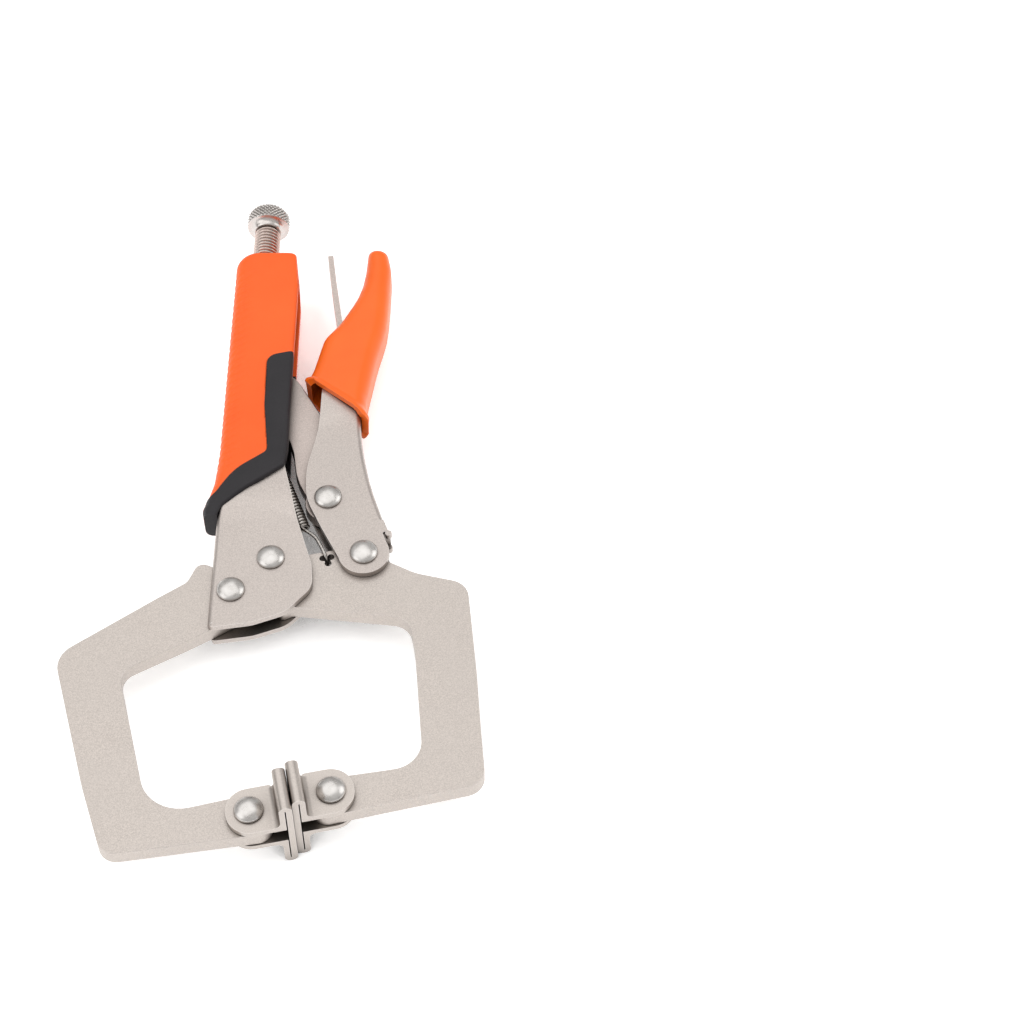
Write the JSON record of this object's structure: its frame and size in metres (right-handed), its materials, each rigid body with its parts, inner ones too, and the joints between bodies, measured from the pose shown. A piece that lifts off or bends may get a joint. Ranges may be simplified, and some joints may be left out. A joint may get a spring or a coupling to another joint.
{
  "type": "locking clamp pliers",
  "caption": "Locking C-clamp pliers with swivelling pads, an over-centre toggle lever, a knurled adjusting screw and moulded grips.",
  "frame": {"origin": "middle of the closed clamping faces of the two pads, in the middle plane of the jaws", "axes": "+X from the fixed jaw to the moving jaw, +Y from the pads to the handles, +Z square to the flat of the tool"},
  "size_m": [0.1379, 0.2658, 0.032],
  "materials": {
    "handle_steel": "satin nickel plate",
    "jaw_steel": "satin nickel plate",
    "link_steel": "satin nickel plate",
    "pad_steel": "satin nickel plate",
    "rivet_chrome": "polished",
    "screw_steel": "satin nickel plate",
    "knob_steel": "knurled nickel plate",
    "spring_steel": "bright wire",
    "orange_grip": "satin moulded rubber",
    "black_grip": "satin moulded rubber",
    "orange_sleeve": "smooth dipped vinyl"
  },
  "bodies": {
    "handle": {"body_channel": "handle_steel", "body_grip": "orange_grip", "grip_border": "black_grip", "fixed_jaw": "jaw_steel", "fixed_jaw_rivet": "rivet_chrome", "jaw_pivot_rivet": "rivet_chrome", "fixed_pad_rivet": "rivet_chrome", "return_spring": "spring_steel"},
    "moving_jaw_arm": {"movable_jaw": "jaw_steel", "moving_pad_rivet": "rivet_chrome"},
    "lever": {"lever_channel": "handle_steel", "lever_sleeve": "orange_sleeve", "lever_pivot_rivet": "rivet_chrome", "link_pivot_rivet": "rivet_chrome", "release_rivet": "rivet_chrome"},
    "link": {"toggle_link": "link_steel"},
    "release": {"release_lever": "link_steel"},
    "screw": {"adjusting_screw": "screw_steel"},
    "knob": {"adjusting_knob": "knob_steel"},
    "left_pad": {"fixed_pad": "pad_steel"},
    "right_pad": {"moving_pad": "pad_steel"}
  },
  "joints": [
    {"name": "jaw_opening", "type": "hinge", "parent": "handle", "child": "moving_jaw_arm", "pos_m": [0.0084, 0.0949, 0], "axis": [0, 0, 1], "range_deg": [0, 15], "deforming": ["return_spring"]},
    {"name": "lever_fold", "type": "hinge", "parent": "moving_jaw_arm", "child": "lever", "pos_m": [0.0393, 0.0906, 0], "axis": [0, 0, -1], "range_deg": [0, 57]},
    {"name": "link_swing", "type": "hinge", "parent": "lever", "child": "link", "pos_m": [0.0314, 0.1161, 0], "axis": [0, 0, 1], "range_deg": [0, 58.5]},
    {"name": "left_pad_swivel", "type": "hinge", "parent": "handle", "child": "left_pad", "pos_m": [-0.0131, -0.0002, 0], "axis": [0, 0, 1], "range_deg": [0, 6.5]},
    {"name": "right_pad_swivel", "type": "hinge", "parent": "moving_jaw_arm", "child": "right_pad", "pos_m": [0.0133, 0.0016, 0], "axis": [0, 0, -1], "range_deg": [0, 8.6]},
    {"name": "release_press", "type": "hinge", "parent": "lever", "child": "release", "pos_m": [0.0446, 0.167, 0], "axis": [0, 0, -1], "range_deg": [0, 6]},
    {"name": "screw_feed", "type": "slide", "parent": "handle", "child": "screw", "axis": [0.2079, 0.9781, 0], "range_m": [0, 0.012]},
    {"name": "knob_turn", "type": "hinge", "parent": "screw", "child": "knob", "pos_m": [0.03128, 0.25208, 0], "axis": [0.2079, 0.9781, 0], "range_deg": [0, 2880]}
  ],
  "couplings": [
    {"joint": "lever_fold", "follows": "jaw_opening", "ratio": 3.76},
    {"joint": "link_swing", "follows": "jaw_opening", "ratio": 3.871},
    {"joint": "left_pad_swivel", "follows": "jaw_opening", "ratio": 0.43},
    {"joint": "right_pad_swivel", "follows": "jaw_opening", "ratio": 0.57},
    {"joint": "knob_turn", "follows": "screw_feed", "rad_per_m": 4188.8}
  ]
}
